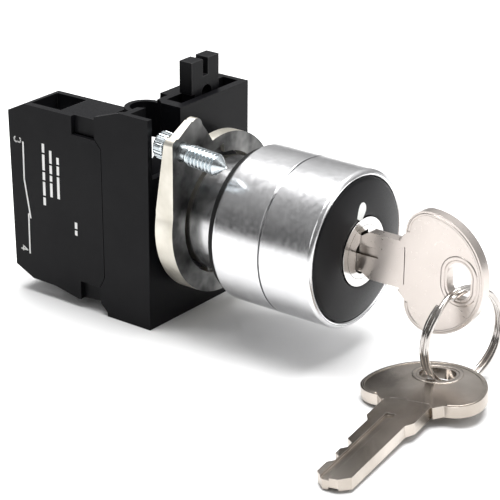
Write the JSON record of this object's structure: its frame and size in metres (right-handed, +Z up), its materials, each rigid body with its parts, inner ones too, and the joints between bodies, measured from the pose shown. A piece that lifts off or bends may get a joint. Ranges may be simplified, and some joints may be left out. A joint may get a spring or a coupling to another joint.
{
  "type": "selector key switch",
  "caption": "Two-position key-operated selector switch for a 22 mm panel hole, with clamping yoke, clip-on adapter, normally open contact block and keys on a split ring.",
  "frame": {"origin": "where the lock axis meets the panel's front face, at the back of the gasket", "axes": "+Y along the lock axis into the panel, towards the contact block; +Z up, towards the locking lever; +X to the right seen from the front"},
  "size_m": [0.0604, 0.1029, 0.048],
  "materials": {
    "chrome_bezel": "bright chrome plating",
    "die_cast_zinc": "bright zinc plating",
    "black_plastic": "fine satin moulded texture",
    "disc_plastic": "satin",
    "white_ink": "matt printed",
    "gasket_rubber": "matt",
    "lock_chrome": "polished",
    "brass": "satin",
    "cam_plastic": "satin",
    "spring_steel": "bright drawn",
    "nickel_key": "nickel plated, warm",
    "ring_nickel": "bright nickel",
    "yoke_zinc": "zinc plated with a dull edge",
    "screw_zinc": "blue zinc plated",
    "plunger_plastic": "glossy",
    "copper_alloy": "bright copper alloy",
    "silver_tip": "silver"
  },
  "bodies": {
    "head": {"bezel_sleeve": "chrome_bezel", "bezel_ring": "chrome_bezel", "operator_body": "die_cast_zinc", "front_disc": "disc_plastic", "position_mark": "white_ink", "lock_shell": "lock_chrome", "panel_gasket": "gasket_rubber", "stop_pin": "spring_steel", "spring_retainer": "spring_steel", "follower_spring": "spring_steel"},
    "lock_plug_set": {"lock_plug": "lock_chrome", "wafers": "brass", "wafer_springs": "spring_steel", "plug_clip": "spring_steel", "cam_rotor": "cam_plastic"},
    "key_in_lock": {"key": "nickel_key"},
    "key_ring": {"split_ring": "ring_nickel"},
    "spare_key_body": {"spare_key": "nickel_key"},
    "follower": {"cam_follower": "cam_plastic"},
    "yoke": {"clamping_yoke": "yoke_zinc"},
    "yoke_clamp_screw": {"yoke_screw": "screw_zinc"},
    "adapter": {"adapter_frame": "black_plastic", "block_housing": "black_plastic", "block_cover": "black_plastic", "label_print": "white_ink", "fixed_contact_top": "copper_alloy", "fixed_contact_bottom": "copper_alloy", "fixed_tips": "silver_tip", "wire_clamps": "screw_zinc", "return_spring": "spring_steel"},
    "lever": {"lock_lever": "black_plastic"},
    "contact_carrier": {"plunger": "plunger_plastic", "contact_bridge": "copper_alloy", "bridge_tips": "silver_tip", "contact_spring": "spring_steel"},
    "screw_3": {"terminal_screw_top": "screw_zinc"},
    "screw_4": {"terminal_screw_bottom": "screw_zinc"}
  },
  "joints": [
    {"name": "key_turn", "type": "hinge", "parent": "head", "child": "lock_plug_set", "pos_m": [0, 0, 0], "axis": [0, 1, 0], "range_deg": [0, 90]},
    {"name": "key_withdraw", "type": "slide", "parent": "lock_plug_set", "child": "key_in_lock", "axis": [0, -1, 0], "range_m": [0, 0.024]},
    {"name": "ring_swing", "type": "hinge", "parent": "key_in_lock", "child": "key_ring", "pos_m": [0, -0.0452, -0.001], "axis": [-1, 0, 0], "range_deg": [-15, 25]},
    {"name": "spare_key_slide_round", "type": "hinge", "parent": "key_ring", "child": "spare_key_body", "pos_m": [0.001, -0.0452, -0.01115], "axis": [-0.2588, -0.9659, 0], "range_deg": [0, 40]},
    {"name": "follower_slide", "type": "slide", "parent": "head", "child": "follower", "axis": [0, 1, 0], "range_m": [0, 0.0031], "deforming": ["follower_spring"]},
    {"name": "yoke_release", "type": "slide", "parent": "head", "child": "yoke", "axis": [0, 1, 0], "range_m": [0, 0.03]},
    {"name": "yoke_screw_turn", "type": "hinge", "parent": "yoke", "child": "yoke_clamp_screw", "pos_m": [-0.0122, 0.0069, 0.0153], "axis": [0, 0.9966, 0.0819], "continuous": true},
    {"name": "adapter_release", "type": "slide", "parent": "yoke", "child": "adapter", "axis": [0, 1, 0], "range_m": [0, 0.03]},
    {"name": "lever_turn", "type": "hinge", "parent": "adapter", "child": "lever", "pos_m": [0, 0.016, 0], "axis": [0, 1, 0], "range_deg": [0, 13]},
    {"name": "contact_travel", "type": "slide", "parent": "adapter", "child": "contact_carrier", "axis": [0, 1, 0], "range_m": [0, 0.0031], "deforming": ["return_spring"]},
    {"name": "terminal_screw_3_turn", "type": "hinge", "parent": "adapter", "child": "screw_3", "pos_m": [-0.0094, 0.041, 0.0112], "axis": [0, 1, 0], "continuous": true},
    {"name": "terminal_screw_4_turn", "type": "hinge", "parent": "adapter", "child": "screw_4", "pos_m": [-0.0094, 0.041, -0.0112], "axis": [0, 1, 0], "continuous": true}
  ],
  "couplings": [
    {"joint": "follower_slide", "follows": "key_turn", "m_per_rad": 0.0019099},
    {"joint": "contact_travel", "follows": "key_turn", "m_per_rad": 0.0019099}
  ]
}
